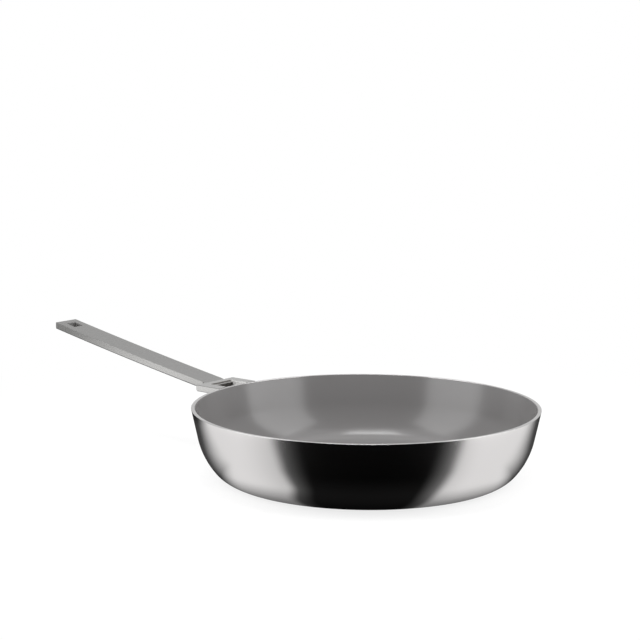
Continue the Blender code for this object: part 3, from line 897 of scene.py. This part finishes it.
# Seen in metal: the dark wedges in front of the pan and behind it
FRONT_LEVEL = 0.010
FRONT_FAR_LEVEL = 0.0008
FRONT_RING = (0.10, 0.17)
FRONT_WEDGE_TIP = Vector((-0.005, -0.086, 0))
FRONT_WEDGE_LEFT = (43.0, 58.5, 68.5, 95.0)
FRONT_WEDGE_RIGHT = (46.5, 60.3, 69.3, 82.0)
NEAR_FLARE = 0.88
FLARE_RING = (0.117, 0.139)
REAR_LEVEL = 0.05
REAR_WEDGE_TIP = Vector((0.0, -0.185, 0))
REAR_WEDGE = (35.0, 35.0, 53.0, 53.0)
REAR_WEDGE_FRONT = (-0.067, -0.018)
STEEP_SHARE = 0.55

# Seen in metal: painted shade by the handle and at the far left
HANDLE_SHADE = 0.15
HANDLE_SHADE_START = (0.25, 0.33)
HANDLE_SHADE_SIDE = (0.03, 0.15)
REAR_LEFT_SHARE = 0.35
REAR_LEFT_X = (-0.32, -0.22)
REAR_LEFT_Y = (0.11, 0.21)

# The lamps
SOFTBOX_HEIGHT = 0.80
SOFTBOX_FOOT = 0.06
SOFTBOX_LEVEL = 3.2
RIGHT_SOFTBOX_ENDS = ((0.555, -0.483), (0.62, 0.10))
LEFT_SOFTBOX_ENDS = ((-0.550, -0.470), (-0.65, 0.16))
EVEN_FADE = (0.0, 0.001)
LEFT_FADE = (0.0, 0.25)
TOP_LIGHT_LEVEL = 6.5
TOP_LIGHT_SIZE = (0.45, 0.33)
TOP_LIGHT_PLACE = Vector((-0.07, -0.17, 1.04))
CEILING_LEVEL = 1.3
CEILING_SIZE = (1.8, 1.38)
CEILING_PLACE = Vector((0.0, 0.31, 1.10))

# The room
ROOM_LEVEL = 0.15
ROOM_FRONT_SHARE = 0.02
ROOM_BACK = (-0.35, 0.25)
ROOM_LOW_LEVEL = 0.70
ROOM_HIGH_LEVEL = 0.18
ROOM_RISE = (0.05, 1.0)


def to_frame(x, y, z=0.0):
    """A place given in the photograph's own axes."""
    return photo_to_frame @ Vector((x, y, z))


def add_ring(tree, reach, ends, before, after):
    """A value that changes smoothly from before to after as reach goes between two ends, in metres."""
    return mapped(tree, reach, *ends, before, after, curve="SMOOTHSTEP")


def add_wedge(tree, place, tip, forward, left, right, flare=1.0):
    """0 inside a wedge along the y axis and 1 outside it. Each side gives four angles at the tip, in
    degrees: the value rises slowly from the first to the last, and faster between the other two. The
    left side lies farther out where flare is less than 1."""
    moved = add_node(tree, "ShaderNodeVectorMath", {0: place, 1: tip}, operation="SUBTRACT").outputs[0]
    parts = split(tree, moved)
    ahead = calculate(tree, "MULTIPLY", parts["Y"], forward)
    turn = calculate(tree, "ARCTAN2", parts["X"], ahead)
    sides = []
    for sign, widening, angles in ((-1, flare, left), (1, 1.0, right)):
        turned_off = calculate(tree, "MULTIPLY", calculate(tree, "MULTIPLY", turn, sign), widening)
        start, steep_start, steep_end, end = [math.radians(angle) for angle in angles]
        slow = add_ring(tree, turned_off, (start, end), 0.0, 1 - STEEP_SHARE)
        fast = add_ring(tree, turned_off, (steep_start, steep_end), 0.0, STEEP_SHARE)
        sides.append(calculate(tree, "ADD", slow, fast))
    return calculate(tree, "MAXIMUM", *sides)


def even_grey(tree, shade):
    """A matt grey surface."""
    return add_node(tree, "ShaderNodeBsdfDiffuse", {"Color": (shade, shade, shade, 1)}).outputs[0]


def glow_of(tree, strength):
    """A white glow of some strength."""
    return add_node(tree, "ShaderNodeEmission", {"Strength": strength}).outputs[0]


def mirrored_rays(tree, ray):
    """1 for what is seen in polished or clear surfaces."""
    return calculate(tree, "MAXIMUM", ray["Is Glossy Ray"], ray["Is Transmission Ray"])


bpy.ops.object.select_all(action="DESELECT")
bpy.ops.mesh.primitive_plane_add(size=TABLE_SIZE)
table = bpy.context.object
table.name = "table"
table_paint = bpy.data.materials.new("table")
table_paint.use_nodes = True
tree = table_paint.node_tree
tree.nodes.clear()
ray = add_node(tree, "ShaderNodeLightPath").outputs
table_place = object_place(tree)
place = add_node(tree, "ShaderNodeVectorRotate", {"Vector": table_place, "Angle": HANDLE_BEARING},
                 rotation_type="Z_AXIS").outputs[0]
reach = length_of(tree, place)

# The table as the camera sees it and as it lights the pan
near = add_ring(tree, reach, SHADOW_FADE, 1.0, 0.0)
pool = add_node(tree, "ShaderNodeAddShader",
                {0: even_grey(tree, SHADOW_SHADE), 1: glow_of(tree, TABLE_GLOW)})
seen = add_node(tree, "ShaderNodeMixShader", {0: near, 1: glow_of(tree, 1.0), 2: pool.outputs[0]})
lit = add_node(tree, "ShaderNodeMixShader",
               {0: ray["Is Camera Ray"], 1: even_grey(tree, TABLE_SHADE), 2: seen.outputs[0]})

# The painted reflection that polished metal sees on the table
across = split(tree, place)
flare = add_ring(tree, reach, FLARE_RING, NEAR_FLARE, 1.0)
front = add_wedge(tree, place, FRONT_WEDGE_TIP, -1, FRONT_WEDGE_LEFT, FRONT_WEDGE_RIGHT, flare)
front_least = add_ring(tree, reach, FRONT_RING, FRONT_LEVEL / POOL_LEVEL, FRONT_FAR_LEVEL / POOL_LEVEL)
front = calculate(tree, "MAXIMUM", front, front_least)
rear = add_wedge(tree, place, REAR_WEDGE_TIP, 1, REAR_WEDGE, REAR_WEDGE)
rear = calculate(tree, "MAXIMUM", rear, add_ring(tree, across["Y"], REAR_WEDGE_FRONT, 1.0, 0.0))
rear = mapped(tree, rear, 0.0, 1.0, REAR_LEVEL / POOL_LEVEL, 1.0)
along_handle = split(tree, table_place)
off_handle = calculate(tree, "ABSOLUTE", along_handle["Y"])
handle_shade = blend(tree, add_ring(tree, along_handle["X"], HANDLE_SHADE_START, 0.0, 1.0), 1.0,
                     add_ring(tree, off_handle, HANDLE_SHADE_SIDE, HANDLE_SHADE, 1.0))
rear_left = blend(tree, add_ring(tree, across["X"], REAR_LEFT_X, 1.0, 0.0), 1.0,
                  add_ring(tree, across["Y"], REAR_LEFT_Y, 1.0, REAR_LEFT_SHARE))
shares = [rear, handle_shade, rear_left,
          add_ring(tree, reach, CONTACT_RING, CONTACT_SHARE, 1.0),
          add_ring(tree, reach, PEAK_RING, POOL_LEVEL, POOL_PEAK_LEVEL),
          add_ring(tree, reach, FAR_RING, 1.0, POOL_FAR_LEVEL / POOL_PEAK_LEVEL)]
shine_level = front
for share in shares:
    shine_level = calculate(tree, "MULTIPLY", shine_level, share)

whole = add_node(tree, "ShaderNodeMixShader",
                 {0: mirrored_rays(tree, ray), 1: lit.outputs[0], 2: glow_of(tree, shine_level)})
add_node(tree, "ShaderNodeOutputMaterial", {"Surface": whole.outputs[0]})
table.data.materials.append(table_paint)


def softbox(name, place, facing, width, height, level, fade=EVEN_FADE):
    """An area light that faces a point and that the camera doesn't see. Its brightness rises across
    its width between the two shares in fade."""
    data = bpy.data.lights.new(name, "AREA")
    data.shape = "RECTANGLE"
    data.size = width
    data.size_y = height
    data.energy = level * math.pi * width * height
    data.use_nodes = True
    tree = data.node_tree
    on_face = add_node(tree, "ShaderNodeNewGeometry").outputs["Parametric"]
    rising = add_ring(tree, split(tree, on_face)["X"], fade, 0.0, 1.0)
    tree.links.new(rising, tree.nodes["Emission"].inputs["Strength"])
    lamp = bpy.data.objects.new(name, data)
    lamp.location = place
    lamp.rotation_mode = "QUATERNION"
    lamp.rotation_quaternion = (facing - place).to_track_quat("-Z", "Y")
    lamp.visible_camera = False
    bpy.context.scene.collection.objects.link(lamp)
    return lamp


for name, (front_end, back_end), fade in (("right_softbox", RIGHT_SOFTBOX_ENDS, EVEN_FADE),
                                          ("left_softbox", LEFT_SOFTBOX_ENDS, LEFT_FADE)):
    middle = (Vector(front_end) + Vector(back_end)) / 2
    length = Vector(back_end) - Vector(front_end)
    inward = Vector((length.y, -length.x))
    if inward.dot(middle) > 0:
        inward = -inward
    height = SOFTBOX_FOOT + SOFTBOX_HEIGHT / 2
    facing = middle + inward
    softbox(name, to_frame(middle.x, middle.y, height), to_frame(facing.x, facing.y, height),
            length.length, SOFTBOX_HEIGHT, SOFTBOX_LEVEL, fade)
for name, place, size, level in (("top_softbox", TOP_LIGHT_PLACE, TOP_LIGHT_SIZE, TOP_LIGHT_LEVEL),
                                 ("ceiling_panel", CEILING_PLACE, CEILING_SIZE, CEILING_LEVEL)):
    lamp = softbox(name, to_frame(*place), to_frame(place.x, place.y), *size, level)
    lamp.rotation_quaternion = photo_to_frame.to_quaternion()

world = bpy.data.worlds.new("white room")
bpy.context.scene.world = world
world.use_nodes = True
tree = world.node_tree
tree.nodes.clear()
ray = add_node(tree, "ShaderNodeLightPath").outputs
aim = add_node(tree, "ShaderNodeTexCoord").outputs["Generated"]
away = to_frame(0, 1) - to_frame(0, 0)
backward = add_node(tree, "ShaderNodeVectorMath", {0: aim, 1: away}, operation="DOT_PRODUCT")
behind = add_ring(tree, backward.outputs["Value"], ROOM_BACK, ROOM_FRONT_SHARE, 1.0)
wall_level = mapped(tree, split(tree, aim)["Z"], *ROOM_RISE, ROOM_LOW_LEVEL, ROOM_HIGH_LEVEL)
room_shine = calculate(tree, "MULTIPLY", behind, wall_level)
fill = blend(tree, mirrored_rays(tree, ray), ROOM_LEVEL, room_shine)
level = blend(tree, ray["Is Camera Ray"], fill, 1.0)
background = add_node(tree, "ShaderNodeBackground", {"Color": (1, 1, 1, 1), "Strength": level})
add_node(tree, "ShaderNodeOutputWorld", {"Surface": background.outputs[0]})
